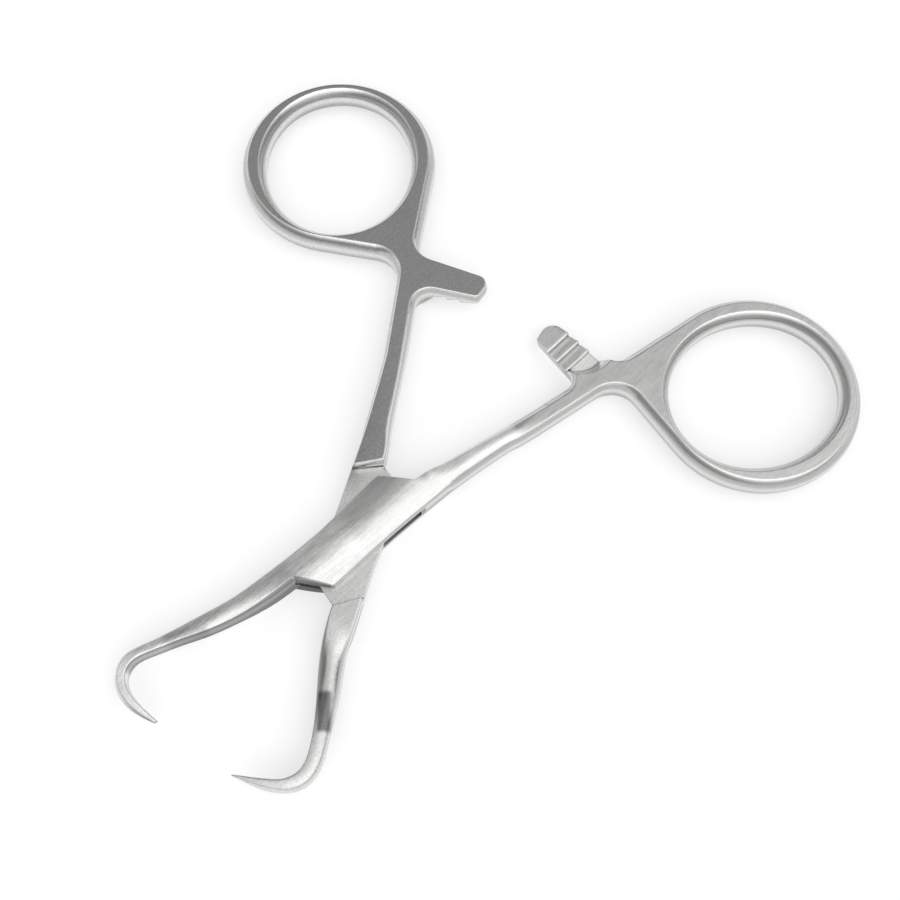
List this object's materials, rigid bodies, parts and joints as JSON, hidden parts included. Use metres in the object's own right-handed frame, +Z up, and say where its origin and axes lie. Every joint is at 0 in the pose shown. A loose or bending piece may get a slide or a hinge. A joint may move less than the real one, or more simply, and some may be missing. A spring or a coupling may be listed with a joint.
{
  "type": "towel clamp",
  "caption": "Ring-handled towel clamp with a box joint, side ratchet and inward curved pointed jaws, standing open.",
  "frame": {"origin": "on the axis of the pivot pin, on the underside of the box, where the clamp rests", "axes": "+Z up along the pivot pin, +Y from the pin towards the finger rings along the line midway between them, +X to the right seen from above with the rings away from the viewer"},
  "size_m": [0.0886, 0.0857, 0.005],
  "materials": {
    "brushed_arm": "brushed stainless steel, bright edges",
    "satin_arm": "fine satin stainless steel, bright rounded sides",
    "pin_steel": "stainless steel, ground flush with the box"
  },
  "bodies": {
    "box_arm_body": {"box_arm": "brushed_arm", "pivot_pin": "pin_steel"},
    "tongue_arm_body": {"tongue_arm": "satin_arm"}
  },
  "joints": [
    {"name": "box_joint", "type": "hinge", "parent": "box_arm_body", "child": "tongue_arm_body", "pos_m": [0, 0, 0.0025], "axis": [0, 0, 1], "range_deg": [-19.4, 20]}
  ]
}
